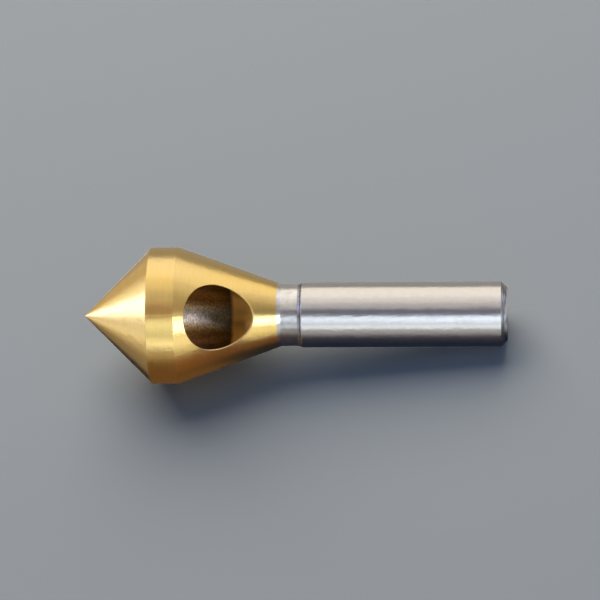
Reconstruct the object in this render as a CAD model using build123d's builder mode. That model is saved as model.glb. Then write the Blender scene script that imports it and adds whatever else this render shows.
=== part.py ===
from build123d import *
import os
from math import cos, radians, sin, tan

# A one-piece countersink and deburring bit of the cross-hole kind: a 90 degree point with no flutes,
# whose cutting edge is the front mouth of one slanting chip hole. Millimetres.
# The bit stands on its shank: the origin is the middle of the shank's end face, +Z runs along
# the turning axis to the point, and the chip hole's axis lies in the YZ plane.

# Driving dimensions
overall_length = 65.0
head_diameter = 21.0
point_angle = 90.0  # included angle of the cutting cone
tip_radius = 0.15  # the ground point is not needle sharp
band_length = 4.2  # straight land between the two cones
rear_cone_angle = 40.0  # included angle of the cone behind the band
band_rim_radius = 0.12  # honed edges of the band
neck_diameter = 9.5
neck_length = 2.6
neck_corner_radius = 0.3  # nose radius of the tool that turned the neck
shoulder_length = 0.6  # short lead from the neck up to the ground shank
shank_diameter = 10.0
shank_end_chamfer = 1.0
chip_hole_diameter = 9.8
chip_hole_tilt = 45.0  # between the chip hole's axis and the turning axis
chip_hole_below_tip = 13.3  # where the two axes cross, measured down from the point
mouth_break = 0.15  # broken edge round the rear mouth; the front mouth stays sharp to cut

# Worked-out radii
head_radius = head_diameter / 2
neck_radius = neck_diameter / 2
shank_radius = shank_diameter / 2
chip_hole_radius = chip_hole_diameter / 2

# Worked-out heights, from the point down to the shank
point_slope = radians(point_angle / 2)
rear_slope = radians(rear_cone_angle / 2)
tip_edge_radius = tip_radius * cos(point_slope)
tip_edge_height = overall_length - tip_radius * (1 - sin(point_slope))
band_top = tip_edge_height - (head_radius - tip_edge_radius) / tan(point_slope)
band_base = band_top - band_length
neck_top = band_base - (head_radius - neck_radius) / tan(rear_slope)
neck_base = neck_top - neck_length
shank_top = neck_base - shoulder_length

# The chip hole climbs from its rear mouth on the -Y side to the cutting mouth on the +Y side.
chip_hole_plane = Plane(
    origin=(0, 0, overall_length - chip_hole_below_tip),
    x_dir=(1, 0, 0),
    z_dir=Vector(0, 0, 1).rotate(Axis.X, -chip_hole_tilt),
)

with BuildPart() as bit:
    # The turned blank, from the shank's end face to the point
    with BuildSketch(Plane.XZ) as half_section:
        with BuildLine():
            outline = Polyline(
                (0, 0),
                (shank_radius, 0),
                (shank_radius, shank_top),
                (neck_radius, neck_base),
                (neck_radius, neck_top),
                (head_radius, band_base),
                (head_radius, band_top),
                (tip_edge_radius, tip_edge_height),
            )
            tip_round = TangentArc(outline @ 1, (0, overall_length), tangent=outline % 1)
            Line(tip_round @ 1, outline @ 0)
        make_face()
    revolve(axis=Axis.Z)

    # Edges left by the turning and grinding
    turned_edges = bit.edges().filter_by(GeomType.CIRCLE)
    shank_end_edge = turned_edges.sort_by(Axis.Z)[0]
    band_rims = turned_edges.sort_by(SortBy.RADIUS)[-2:]
    neck_corners = turned_edges.filter_by(lambda edge: abs(edge.radius - neck_radius) < 0.01)
    chamfer(shank_end_edge, shank_end_chamfer)
    fillet(band_rims, band_rim_radius)
    fillet(neck_corners, neck_corner_radius)

    # The chip hole, right through the head
    with Locations(chip_hole_plane):
        Hole(radius=chip_hole_radius)
    chip_hole_wall = bit.faces(Select.LAST).filter_by(GeomType.CYLINDER)
    rear_mouth = chip_hole_wall.edges().sort_by(Axis.Y)[0]
    chamfer(rear_mouth, mouth_break)

bit.part.label = "countersink_bit"

os.makedirs("parts", exist_ok=True)
export_step(bit.part, "parts/countersink_bit.step")
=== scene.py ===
from math import cos, degrees, pi, radians, sin, tan

import bmesh
import bpy
from mathutils import Matrix, Vector


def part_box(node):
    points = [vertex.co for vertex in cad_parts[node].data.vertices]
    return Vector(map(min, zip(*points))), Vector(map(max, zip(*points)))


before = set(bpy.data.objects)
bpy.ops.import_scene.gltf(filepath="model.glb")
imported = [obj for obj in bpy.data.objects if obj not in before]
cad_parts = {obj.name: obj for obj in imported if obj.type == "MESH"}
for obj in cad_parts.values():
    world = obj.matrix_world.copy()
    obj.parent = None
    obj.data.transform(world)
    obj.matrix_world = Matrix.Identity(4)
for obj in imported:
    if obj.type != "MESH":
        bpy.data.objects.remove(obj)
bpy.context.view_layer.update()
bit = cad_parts["countersink_bit"]

MM = 0.001

# Sizes of the bit, in metres. It stands on its shank end at z = 0, with its point up.
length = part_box("countersink_bit")[1].z
middle = Vector((0, 0, length / 2))
head_radius = 10.5 * MM
head_middle = 51 * MM
band_base = 50.4 * MM
coating_end = 35.1 * MM
shank_top = 31.4 * MM
shank_radius = 5.0 * MM
shank_chamfer = 1.0 * MM
bore_radius = 4.9 * MM
bore_axis = Vector((0, 1, 1)).normalized()
bore_crossing = length - 13.3 * MM
coating_end_in_bore = 41.9 * MM

# --- Camera: a long lens, with the bit lying across its view and the point to the left -----------

camera_distance = 490 * MM
camera_pan = radians(3.75)
camera_orbit = radians(2.1)
camera_roll = radians(0.27)
aim_height = 31.8 * MM
aim_above_axis = 2.30 * MM
image_width_px = 600
pixels_per_mm = 6.515


def turn_about_axis(vector):
    return Matrix.Rotation(camera_orbit, 3, "Z") @ vector


def add_camera():
    back = turn_about_axis(Vector((0, -cos(camera_pan), -sin(camera_pan))))
    right = turn_about_axis(Vector((0, sin(camera_pan), -cos(camera_pan))))
    up = turn_about_axis(Vector((1, 0, 0)))
    rolled_right = right * cos(camera_roll) - up * sin(camera_roll)
    rolled_up = up * cos(camera_roll) + right * sin(camera_roll)
    aim = Vector((0, 0, aim_height)) + up * aim_above_axis
    data = bpy.data.cameras.new("camera")
    data.sensor_width = 36
    data.lens = data.sensor_width * pixels_per_mm * camera_distance / MM / image_width_px
    data.clip_start = 0.01
    data.clip_end = 10
    camera = bpy.data.objects.new("camera", data)
    placed = Matrix((rolled_right, rolled_up, back)).transposed().to_4x4()
    placed.translation = aim + back * camera_distance
    camera.matrix_world = placed
    bpy.context.scene.collection.objects.link(camera)
    bpy.context.scene.camera = camera


add_camera()

# --- Helpers ------------------------------------------------------------------------------------


def linear(hex_colour):
    """An sRGB hex colour as linear RGBA."""
    channels = [int(hex_colour[i : i + 2], 16) / 255 for i in (1, 3, 5)]
    return [c / 12.92 if c <= 0.04045 else ((c + 0.055) / 1.055) ** 2.4 for c in channels] + [1.0]


def add_node(tree, kind, settings=None, **inputs):
    """Adds a node with its settings, and sets or links its inputs.

    An input is named with underscores for spaces, or by its number, such as _0.
    """
    node = tree.nodes.new(kind)
    for name, value in (settings or {}).items():
        setattr(node, name, value)
    for name, value in inputs.items():
        key = int(name[1:]) if name[1:].isdigit() else name.replace("_", " ")
        if isinstance(value, bpy.types.NodeSocket):
            tree.links.new(value, node.inputs[key])
        else:
            node.inputs[key].default_value = value
    return node


def new_material(name):
    material = bpy.data.materials.new(name)
    material.use_nodes = True
    material.node_tree.nodes.clear()
    return material, material.node_tree


def from_bit(around, lean):
    """The direction at the angle around, counted about the bit's axis from the camera's side towards
    the camera's top, that leans by the angle lean towards the point. In degrees."""
    turn, rise = radians(around), radians(lean)
    return Vector((sin(turn) * cos(rise), -cos(turn) * cos(rise), sin(rise)))


# --- Stage --------------------------------------------------------------------------------------

table_turn = radians(40)
table_slope = (head_radius - shank_radius) / (band_base - shank_chamfer)
table_size = 0.9
floor_size = 1.5
black_card_distance = 0.62


def add_sheet(name, centre, normal, size, colour):
    """A square sheet that is seen from its front only, so that it never hides the bit."""
    # Uncoated paper: matt from every side
    material, tree = new_material(name + " paper")
    paper = add_node(tree, "ShaderNodeBsdfDiffuse", Color=linear(colour)).outputs[0]
    clear = add_node(tree, "ShaderNodeBsdfTransparent").outputs[0]
    behind = add_node(tree, "ShaderNodeNewGeometry").outputs["Backfacing"]
    one_sided = add_node(tree, "ShaderNodeMixShader", Fac=behind, _1=paper, _2=clear).outputs[0]
    add_node(tree, "ShaderNodeOutputMaterial", Surface=one_sided)

    turned = normal.to_track_quat("Z", "Y").to_matrix().to_4x4()
    sheet = bmesh.new()
    bmesh.ops.create_grid(sheet, x_segments=1, y_segments=1, size=size / 2)
    bmesh.ops.transform(sheet, matrix=turned, verts=sheet.verts)
    bmesh.ops.translate(sheet, vec=centre, verts=sheet.verts)
    data = bpy.data.meshes.new(name)
    sheet.to_mesh(data)
    sheet.free()
    data.materials.append(material)
    plane = bpy.data.objects.new(name, data)
    plane.visible_glossy = False
    plane.visible_diffuse = False
    plane.visible_shadow = False
    bpy.context.scene.collection.objects.link(plane)
    return plane


def add_black_card(name, around, lean, size, colour):
    """A dark card that only the metal sees."""
    outward = from_bit(around, lean)
    card = add_sheet(name, middle + outward * black_card_distance, -outward, size, colour)
    card.visible_glossy = True
    card.visible_camera = False


# The table leans against the bit and touches it at the shank's end and at the band
table_normal = Vector((sin(table_turn), -cos(table_turn), table_slope)).normalized()
table_foot = Vector((-sin(table_turn) * shank_radius, cos(table_turn) * shank_radius, shank_chamfer))
backdrop = add_sheet("backdrop_table", table_foot, table_normal, table_size, "#6b7071")
floor = add_sheet("floor", Vector((0, 0, 0)), Vector((0, 0, 1)), floor_size, "#cfcfd0")

# These darken the metal's lower side and draw the dark line along its front
add_black_card("low_black_card", around=-131, lean=-15, size=1.5, colour="#565e62")
add_black_card("front_black_card", around=9, lean=0, size=0.22, colour="#0d0e10")

# --- Light --------------------------------------------------------------------------------------

lamp_distance = 600 * MM
paper_lamp_distance = 800 * MM
floor_lamp_distance = 3000 * MM
head_card_distance = 24 * MM
cone_lamp_height = 40
cone_lamp_shift = 0.35


def add_softbox(
    name, outward, across, width, height, radiance, colour, distance=lamp_distance, level=length / 2
):
    """A lamp out from the bit's axis. Its width, along the direction across, and height are in degrees."""
    right = (across - outward * across.dot(outward)).normalized()
    data = bpy.data.lights.new(name, "AREA")
    data.shape = "RECTANGLE"
    data.size = 2 * distance * tan(radians(width) / 2)
    data.size_y = 2 * distance * tan(radians(height) / 2)
    data.energy = radiance * pi * data.size * data.size_y
    data.color = linear(colour)[:3]
    lamp = bpy.data.objects.new(name, data)
    placed = Matrix((right, outward.cross(right), outward)).transposed().to_4x4()
    placed.translation = Vector((0, 0, level)) + outward * distance
    lamp.matrix_world = placed
    lamp.visible_camera = False
    bpy.context.scene.collection.objects.link(lamp)
    return lamp


def add_side_lamp(name, around, lean=0, **size_and_light):
    return add_softbox(name, from_bit(around, lean), from_bit(around + 90, 0), **size_and_light)


def add_head_card(name, around, **size_and_light):
    """A lamp so near to the head that the shank doesn't mirror it."""
    return add_side_lamp(name, around, distance=head_card_distance, level=head_middle, **size_and_light)


def seen_in_cone(facing):
    """Where the cutting cone's line at the angle facing mirrors, moved some way towards the camera."""
    turn = radians(facing)
    mirrored = Vector((sin(turn) * cos(turn), sin(turn) ** 2, cos(turn)))
    normal = Vector((sin(turn), -cos(turn), 1)).normalized()
    return (mirrored + cone_lamp_shift * normal).normalized()


def add_cone_lamp(name, start, end, radiance, colour):
    """A lamp that the cutting cone mirrors from its line at the angle start to the one at end."""
    first, last = seen_in_cone(start), seen_in_cone(end)
    outward = seen_in_cone((start + end) / 2)
    width = degrees(first.angle(last))
    return add_softbox(name, outward, last - first, width, cone_lamp_height, radiance, colour)


def light_only(lamp, *lit_objects):
    lit = bpy.data.collections.new("lit by " + lamp.name)
    for lit_object in lit_objects:
        lit.objects.link(lit_object)
    lamp.light_linking.receiver_collection = lit


def add_paper_lamps():
    """The key and the fill light the paper alone, and the softbox lights the bit as well."""
    # The floor would pass through this one, so it isn't lit by it
    softbox = add_side_lamp("top_softbox", 91, width=50, height=80, radiance=1.26, colour="#fff6e6")
    light_only(softbox, bit, backdrop)

    # The key stands near enough to shade the table from its top to its foot. The floor reaches almost
    # to the key, so it has one of its own, further out on the same side.
    key = {"around": 78, "lean": 15, "width": 60, "height": 60, "radiance": 7.15, "colour": "#fff5ec"}
    table_key = add_side_lamp("paper_key", distance=paper_lamp_distance, **key)
    light_only(table_key, backdrop)
    floor_key = add_side_lamp("floor_key", distance=floor_lamp_distance, **key)
    light_only(floor_key, floor)
    fill = {"around": 12, "width": 105, "height": 105, "radiance": 0.92, "colour": "#98b4ea"}
    paper_fill = add_side_lamp("paper_fill", distance=paper_lamp_distance, **fill)
    for lamp in (table_key, floor_key, paper_fill):
        lamp.visible_glossy = False


def add_metal_lamps():
    """Polished metal looks like what it mirrors, so each line along the bit has a card that it mirrors."""
    cards = [
        # Seen in the shank and in the head's band, and the last one in the chip hole's wall
        add_side_lamp("top_front_card", 55.5, width=21, height=80, radiance=0.96, colour="#fff3e6"),
        add_side_lamp("upper_front_card", 34.5, width=21, height=80, radiance=0.49, colour="#fff4e2"),
        add_side_lamp("front_card", -11.2, width=15, height=53, radiance=1.3, colour="#e8f4ff"),
        add_side_lamp("lower_front_card", -26, width=15, height=53, radiance=0.86, colour="#f0faff"),
        add_side_lamp("lower_card", -42.5, width=15, height=53, radiance=1.4, colour="#f4fbff"),
        add_side_lamp("low_card", -62, width=20, height=80, radiance=0.24, colour="#fff8f0"),
        add_side_lamp("table_card", 142, width=46, height=80, radiance=0.25, colour="#fff0e6"),
        add_side_lamp("hole_card", 180, 12, width=20, height=30, radiance=0.9, colour="#ffffff"),
        # Seen in the head alone: gold takes the blue out of what it mirrors, so its pale lines need
        # cool cards, and its lower side gets warm ones
        add_head_card("band_card", -39.5, width=8, height=30, radiance=0.85, colour="#fff0d8"),
        add_head_card("warm_low_card", -98, width=92, height=52, radiance=0.15, colour="#ffb440"),
        add_head_card("warm_gap_card", 8, width=26, height=52, radiance=0.24, colour="#ffb860"),
        add_head_card("cool_band_card", 80, width=40, height=45, radiance=0.42, colour="#1e70ff"),
        add_head_card("cool_low_card", -39, width=18, height=45, radiance=0.36, colour="#3c88ff"),
        # Seen in the rear cone, which mirrors what lies towards the shank
        add_side_lamp("cool_cone_card", 80, -40, width=44, height=30, radiance=0.42, colour="#1e70ff"),
        add_side_lamp("warm_cone_card", -100, -31, width=32, height=22, radiance=0.26, colour="#ff9030"),
        add_side_lamp("cone_gap_card", 8, -40, width=26, height=24, radiance=0.2, colour="#f4ecff"),
        # Seen in the rear cone, the neck's corners and the chamfer of the shank's end
        add_side_lamp("shank_end_card", 60, -78, width=75, height=40, radiance=0.34, colour="#f8f8ff"),
        add_side_lamp("shank_side_lamp", -17.5, -38, width=22.5, height=19, radiance=12.5, colour="#dae4ff"),
        add_side_lamp("shank_low_card", -62, -45, width=34, height=28, radiance=1.6, colour="#ffffff"),
        # Seen in the cutting cone
        add_cone_lamp("cone_top_card", 41, 70, radiance=0.47, colour="#ffe4c6"),
        add_cone_lamp("cone_upper_card", 24, 41, radiance=1.7, colour="#eaecff"),
        add_cone_lamp("cone_lamp", 3, 23, radiance=8.2, colour="#c2c8ff"),
        add_cone_lamp("cone_front_card", -28, 2, radiance=1.65, colour="#dde0ff"),
        add_cone_lamp("cone_lower_card", -40, -28, radiance=0.85, colour="#fff4f4"),
        add_cone_lamp("cone_low_card", -70, -40, radiance=0.16, colour="#ffd8c8"),
    ]
    for card in cards:
        card.visible_diffuse = False


def set_world():
    """Grey walls for the camera and the metal, and a little blue light from the room on the paper."""
    world = bpy.data.worlds.new("studio")
    bpy.context.scene.world = world
    world.use_nodes = True
    tree = world.node_tree
    tree.nodes.clear()
    path = add_node(tree, "ShaderNodeLightPath").outputs
    seen = add_node(
        tree, "ShaderNodeMath", {"operation": "MAXIMUM"}, _0=path["Is Camera Ray"], _1=path["Is Glossy Ray"]
    ).outputs[0]
    seen_or_through = add_node(
        tree, "ShaderNodeMath", {"operation": "MAXIMUM"}, _0=seen, _1=path["Is Transmission Ray"]
    ).outputs[0]
    room = add_node(tree, "ShaderNodeBackground", Color=linear("#7c98c8"), Strength=0.1).outputs[0]
    walls = add_node(tree, "ShaderNodeBackground", Color=linear("#6c6c6e"), Strength=1.0).outputs[0]
    mixed = add_node(tree, "ShaderNodeMixShader", Fac=seen_or_through, _1=room, _2=walls).outputs[0]
    add_node(tree, "ShaderNodeOutputWorld", Surface=mixed)


add_paper_lamps()
add_metal_lamps()
set_world()

# --- Finish of the bit --------------------------------------------------------------------------

# How many features of each pattern there are to a millimetre. Real grinding marks are 0.02 to 0.05 mm
# wide and the grain between them is under 0.1 mm. Both are too fine to show, so they are drawn about
# 0.2 mm and 0.4 mm wide. A mark runs some 3 mm round the bit, and blotches are near their real 1 mm.
marks_per_mm_along = 4.5
marks_per_mm_round = 0.35
grains_per_mm = 2.6
blotches_per_mm = 1.1
wanders_per_mm = 0.5

mark_depth = 0.0025 * MM
grain_depth = 0.02 * MM
blotch_depth = 0.03 * MM

# The lead between shank and neck, drawn darker with painted shade, and a broken line of painted shade in it
lead_middle = shank_top + 0.32 * MM
lead_half_width = 0.3 * MM
shade_line_middle = shank_top + 0.42 * MM
shade_line_half_width = 0.1 * MM

# How far below the axis, as the camera sees it, the neck's painted shade and the hole's streak of painted
# reflection lie
neck_shade_off_axis = 1.9 * MM
streak_off_axis = 0.3 * MM

# A pale line of painted highlight on the broken edge of the rear mouth
highlight_off_bore = bore_radius + 0.09 * MM
highlight_half_width = 0.05 * MM

colours = {"data_type": "RGBA"}
product = {"data_type": "RGBA", "blend_type": "MULTIPLY"}


def bare_steel(tree, across, height, above_shank, marks, blotches, grain):
    """Ground steel on the shank, and turned steel on its end chamfer and on the neck."""
    ground = add_node(
        tree, "ShaderNodeMix", colours, Factor=blotches, _6=linear("#c4c2bf"), _7=linear("#d2d0cc")
    ).outputs[2]

    # Rings left by the turning of the end chamfer
    rings = add_node(tree, "ShaderNodeMapRange", Value=marks, From_Min=0.4, From_Max=0.6).outputs[0]
    ringed = add_node(
        tree, "ShaderNodeMix", colours, Factor=rings, _6=linear("#8a8b8d"), _7=linear("#e0dfe0")
    ).outputs[2]
    above_chamfer = add_node(
        tree, "ShaderNodeMath", {"operation": "GREATER_THAN"}, _0=height, _1=shank_chamfer
    ).outputs[0]
    shank = add_node(tree, "ShaderNodeMix", colours, Factor=above_chamfer, _6=ringed, _7=ground).outputs[2]

    # The neck, bright and blotchy, with painted shade on its lower side as the camera sees it
    turned = add_node(
        tree, "ShaderNodeMix", colours, Factor=blotches, _6=linear("#b0b0ac"), _7=linear("#eeece6")
    ).outputs[2]
    off_neck_shade = add_node(
        tree, "ShaderNodeMath", {"operation": "ADD"}, _0=across, _1=neck_shade_off_axis
    ).outputs[0]
    from_neck_shade = add_node(tree, "ShaderNodeMath", {"operation": "ABSOLUTE"}, _0=off_neck_shade).outputs[0]
    neck_painted_shade = add_node(
        tree,
        "ShaderNodeMapRange",
        Value=from_neck_shade,
        From_Min=0.9 * MM,
        From_Max=2.2 * MM,
        To_Min=0.62,
        To_Max=1.0,
    ).outputs[0]
    neck = add_node(tree, "ShaderNodeMix", product, Factor=1.0, _6=turned, _7=neck_painted_shade).outputs[2]
    bright = add_node(tree, "ShaderNodeMix", colours, Factor=above_shank, _6=shank, _7=neck).outputs[2]

    # The lead, darkened with painted shade that tones down the lamps it mirrors, and a line of painted shade
    # that grain breaks up
    on_lead = add_node(
        tree, "ShaderNodeMath", {"operation": "COMPARE"}, _0=height, _1=lead_middle, _2=lead_half_width
    ).outputs[0]
    lead_shaded = add_node(
        tree, "ShaderNodeMix", colours, Factor=on_lead, _6=bright, _7=linear("#9e9fa0")
    ).outputs[2]
    broken = add_node(
        tree, "ShaderNodeMath", {"operation": "MULTIPLY_ADD"}, _0=grain, _1=0.5 * MM, _2=height
    ).outputs[0]
    in_shade_line = add_node(
        tree, "ShaderNodeMath", {"operation": "COMPARE"}, _0=broken, _1=shade_line_middle, _2=shade_line_half_width
    ).outputs[0]
    return add_node(
        tree, "ShaderNodeMix", colours, Factor=in_shade_line, _6=lead_shaded, _7=linear("#6c6864")
    ).outputs[2]


def drilled_steel(tree, across, height, grain):
    """The chip hole's bare wall: brown and speckled, drawn darker than bare steel and darker still next to
    the coat as painted shade, with a lighter streak of painted reflection.
    """
    # A lighter, greyer streak along the wall: painted reflection
    off_streak = add_node(
        tree, "ShaderNodeMath", {"operation": "ADD"}, _0=across, _1=streak_off_axis
    ).outputs[0]
    from_streak = add_node(tree, "ShaderNodeMath", {"operation": "ABSOLUTE"}, _0=off_streak).outputs[0]
    streak_reflection = add_node(
        tree,
        "ShaderNodeMapRange",
        Value=from_streak,
        From_Min=0.6 * MM,
        From_Max=2.5 * MM,
        To_Min=1.0,
        To_Max=0.0,
    ).outputs[0]
    streaked = add_node(
        tree, "ShaderNodeMix", colours, Factor=streak_reflection, _6=linear("#936719"), _7=linear("#aa9a76")
    ).outputs[2]
    speckle = add_node(
        tree, "ShaderNodeMapRange", Value=grain, From_Min=0.35, From_Max=0.65, To_Min=0.45, To_Max=1.0
    ).outputs[0]
    speckled = add_node(tree, "ShaderNodeMix", product, Factor=1.0, _6=streaked, _7=speckle).outputs[2]
    # Darker just past the coat's edge in the hole, fading over 2 mm: painted shade
    painted_bore_shade = add_node(
        tree,
        "ShaderNodeMapRange",
        Value=height,
        From_Min=coating_end_in_bore + 0.2 * MM,
        From_Max=coating_end_in_bore + 2.2 * MM,
        To_Min=0.45,
        To_Max=1.0,
    ).outputs[0]
    return add_node(tree, "ShaderNodeMix", product, Factor=1.0, _6=speckled, _7=painted_bore_shade).outputs[2]


def coated_part(tree, place, height, in_bore):
    """1 where the coat is, with a soft edge that wanders a little, outside and in the chip hole."""
    wander = add_node(
        tree, "ShaderNodeTexNoise", Vector=place, Scale=wanders_per_mm / MM, Detail=2.0
    ).outputs[0]
    wandering_height = add_node(
        tree, "ShaderNodeMath", {"operation": "MULTIPLY_ADD"}, _0=wander, _1=0.35 * MM, _2=height
    ).outputs[0]
    outside = add_node(
        tree,
        "ShaderNodeMapRange",
        Value=wandering_height,
        From_Min=coating_end + 0.05 * MM,
        From_Max=coating_end + 0.35 * MM,
    ).outputs[0]
    inside = add_node(
        tree,
        "ShaderNodeMapRange",
        Value=wandering_height,
        From_Min=coating_end_in_bore + 0.5 * MM,
        From_Max=coating_end_in_bore - 0.1 * MM,
    ).outputs[0]
    return add_node(
        tree, "ShaderNodeMix", {"data_type": "FLOAT"}, Factor=in_bore, _2=outside, _3=inside
    ).outputs[0]


def edge_highlight_part(tree, parts, bore_distance):
    """1 along the lower half of the rear mouth's broken edge, as the camera sees it, where a pale line of
    painted highlight is drawn.
    """
    across, back = parts.outputs["X"], parts.outputs["Y"]
    on_edge = add_node(
        tree,
        "ShaderNodeMath",
        {"operation": "COMPARE"},
        _0=bore_distance,
        _1=highlight_off_bore,
        _2=highlight_half_width,
    ).outputs[0]
    at_rear = add_node(tree, "ShaderNodeMath", {"operation": "LESS_THAN"}, _0=back, _1=0.0).outputs[0]
    on_rear_edge = add_node(
        tree, "ShaderNodeMath", {"operation": "MULTIPLY"}, _0=on_edge, _1=at_rear
    ).outputs[0]
    lower_half = add_node(
        tree, "ShaderNodeMapRange", Value=across, From_Min=1.6 * MM, From_Max=-1.2 * MM
    ).outputs[0]
    return add_node(
        tree, "ShaderNodeMath", {"operation": "MULTIPLY"}, _0=on_rear_edge, _1=lower_half
    ).outputs[0]


def ground_bit():
    """High-speed steel, ground round and round, with a titanium nitride coat on its head.

    The marks draw each highlight out along the bit, into a long soft band. The coat is a few thousandths
    of a millimetre thick, so it follows the marks and only tints what the steel mirrors gold.
    """
    material, tree = new_material("titanium nitride on ground high-speed steel")
    place = add_node(tree, "ShaderNodeTexCoord").outputs["Object"]
    parts = add_node(tree, "ShaderNodeSeparateXYZ", Vector=place)
    across, height = parts.outputs["X"], parts.outputs["Z"]
    above_shank = add_node(
        tree, "ShaderNodeMath", {"operation": "GREATER_THAN"}, _0=height, _1=shank_top
    ).outputs[0]

    # Where the point lies in the chip hole
    from_crossing = add_node(
        tree, "ShaderNodeVectorMath", {"operation": "SUBTRACT"}, _0=place, _1=(0, 0, bore_crossing)
    ).outputs[0]
    off_bore = add_node(
        tree, "ShaderNodeVectorMath", {"operation": "CROSS_PRODUCT"}, _0=from_crossing, _1=tuple(bore_axis)
    ).outputs[0]
    bore_distance = add_node(
        tree, "ShaderNodeVectorMath", {"operation": "LENGTH"}, _0=off_bore
    ).outputs["Value"]
    in_bore = add_node(
        tree, "ShaderNodeMath", {"operation": "LESS_THAN"}, _0=bore_distance, _1=bore_radius + 0.03 * MM
    ).outputs[0]

    # Marks left by the wheel and the turning tool, which run round the bit
    marks_scale = (marks_per_mm_round / MM, marks_per_mm_round / MM, marks_per_mm_along / MM)
    marks_place = add_node(tree, "ShaderNodeMapping", Vector=place, Scale=marks_scale).outputs[0]
    marks = add_node(tree, "ShaderNodeTexNoise", Vector=marks_place, Scale=1.0, Detail=3.0).outputs[0]
    blotches = add_node(
        tree, "ShaderNodeTexNoise", Vector=place, Scale=blotches_per_mm / MM, Detail=3.0
    ).outputs[0]
    grain = add_node(
        tree, "ShaderNodeTexNoise", Vector=place, Scale=grains_per_mm / MM, Detail=2.0
    ).outputs[0]

    # Colour
    steel = bare_steel(tree, across, height, above_shank, marks, blotches, grain)
    drilled = drilled_steel(tree, across, height, grain)
    bare = add_node(tree, "ShaderNodeMix", colours, Factor=in_bore, _6=steel, _7=drilled).outputs[2]
    gold = add_node(
        tree, "ShaderNodeMix", colours, Factor=marks, _6=linear("#d8b768"), _7=linear("#e6c97e")
    ).outputs[2]
    # Inside the chip hole the coat is a deeper orange: painted reflection of the hole's gold walls in each
    # other
    coat = add_node(tree, "ShaderNodeMix", colours, Factor=in_bore, _6=gold, _7=linear("#e6ae56")).outputs[2]
    coated = coated_part(tree, place, height, in_bore)
    finished = add_node(tree, "ShaderNodeMix", colours, Factor=coated, _6=bare, _7=coat).outputs[2]
    # A pale line on the lower half of the rear mouth's edge: painted highlight
    edge_highlight = edge_highlight_part(tree, parts, bore_distance)
    colour = add_node(
        tree, "ShaderNodeMix", colours, Factor=edge_highlight, _6=finished, _7=linear("#efdcae")
    ).outputs[2]

    # Marks run round the turning axis, and round the chip hole's own axis inside it
    round_bit = add_node(
        tree, "ShaderNodeVectorMath", {"operation": "CROSS_PRODUCT"}, _0=(0, 0, 1), _1=place
    ).outputs[0]
    round_either = add_node(
        tree, "ShaderNodeMix", {"data_type": "VECTOR"}, Factor=in_bore, _4=round_bit, _5=off_bore
    ).outputs[1]
    tangent = add_node(tree, "ShaderNodeVectorMath", {"operation": "NORMALIZE"}, _0=round_either).outputs[0]

    # Turned steel, and the head, are a little rougher than the ground shank
    ground_roughness = add_node(
        tree, "ShaderNodeMapRange", Value=marks, From_Min=0.3, From_Max=0.7, To_Min=0.28, To_Max=0.34
    ).outputs[0]
    turned_roughness = add_node(
        tree, "ShaderNodeMapRange", Value=marks, From_Min=0.3, From_Max=0.7, To_Min=0.3, To_Max=0.36
    ).outputs[0]
    roughness = add_node(
        tree,
        "ShaderNodeMix",
        {"data_type": "FLOAT"},
        Factor=above_shank,
        _2=ground_roughness,
        _3=turned_roughness,
    ).outputs[0]

    scratched = add_node(tree, "ShaderNodeBump", Distance=mark_depth, Height=marks).outputs[0]
    rippled = add_node(
        tree, "ShaderNodeBump", Distance=grain_depth, Height=grain, Normal=scratched
    ).outputs[0]
    waved = add_node(
        tree, "ShaderNodeBump", Distance=blotch_depth, Height=blotches, Normal=rippled
    ).outputs[0]

    shader = add_node(
        tree,
        "ShaderNodeBsdfPrincipled",
        Base_Color=colour,
        Metallic=1.0,
        Roughness=roughness,
        Anisotropic=0.8,
        Anisotropic_Rotation=0.25,
        Normal=waved,
        Tangent=tangent,
    ).outputs[0]
    add_node(tree, "ShaderNodeOutputMaterial", Surface=shader)
    return material


bit.data.materials[0] = ground_bit()

bpy.context.scene.view_settings.view_transform = "Standard"
